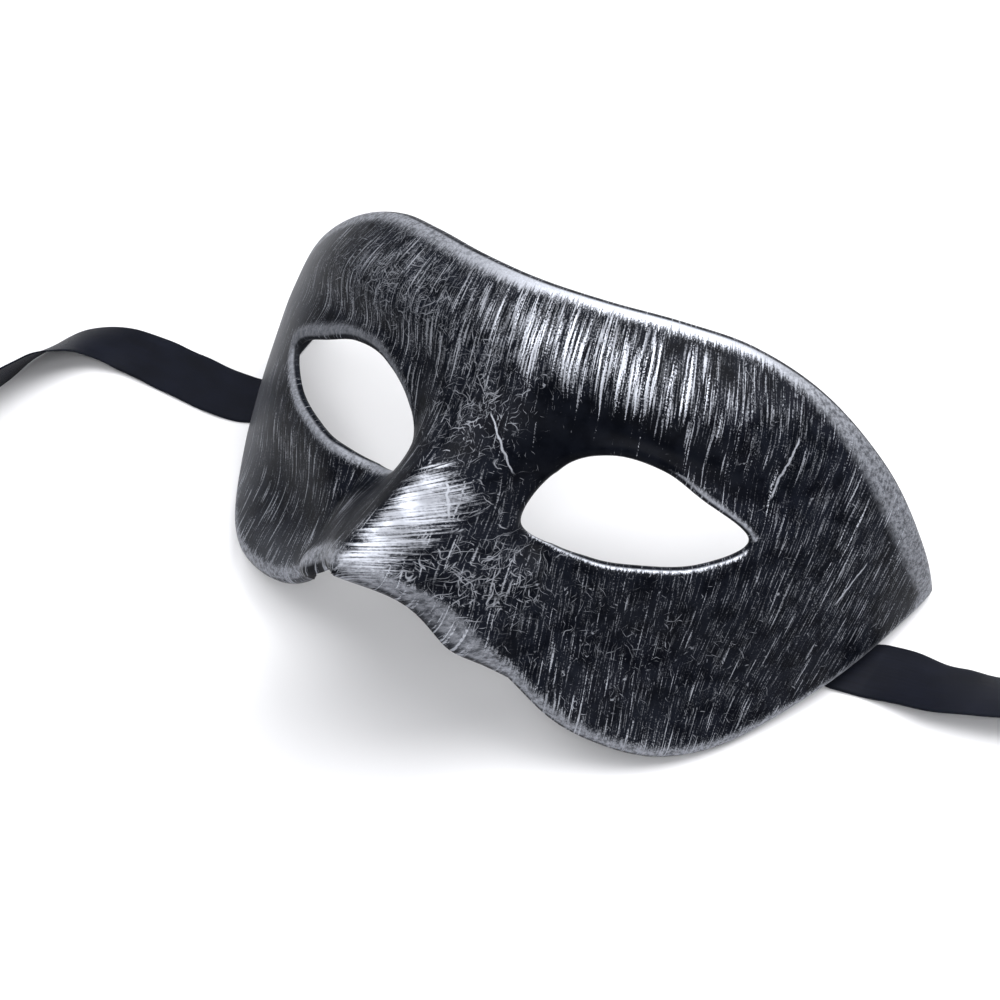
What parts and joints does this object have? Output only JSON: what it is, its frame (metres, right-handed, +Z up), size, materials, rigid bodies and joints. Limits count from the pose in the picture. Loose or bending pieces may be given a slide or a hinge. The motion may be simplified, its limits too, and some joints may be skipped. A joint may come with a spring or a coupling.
{
  "type": "masquerade eye mask",
  "caption": "Half-face masquerade eye mask: thin moulded shell with a pointed nose, leaf-shaped eye holes, swept brows and cheek lobes, and a flat satin ribbon tie at each temple.",
  "frame": {"origin": "on the table, under the middle of the shell's bounding box, with the ribbons left out", "axes": "+Z up from the table; +X across the face, to the right as seen from the front; -Y towards the nose tip and cheek lobes, +Y towards the brow edge and temples. The mask lies face up, pitched back from upright about X by 46.9 degrees"},
  "size_m": [0.2912, 0.0914, 0.0706],
  "materials": {
    "brushed_plastic": "near-black, dry-brushed with silver strokes, soft sheen",
    "black_satin": "woven black satin, soft sheen"
  },
  "bodies": {
    "root": {"mask_shell": "brushed_plastic", "ribbon_left": "black_satin", "ribbon_right": "black_satin"}
  },
  "joints": []
}
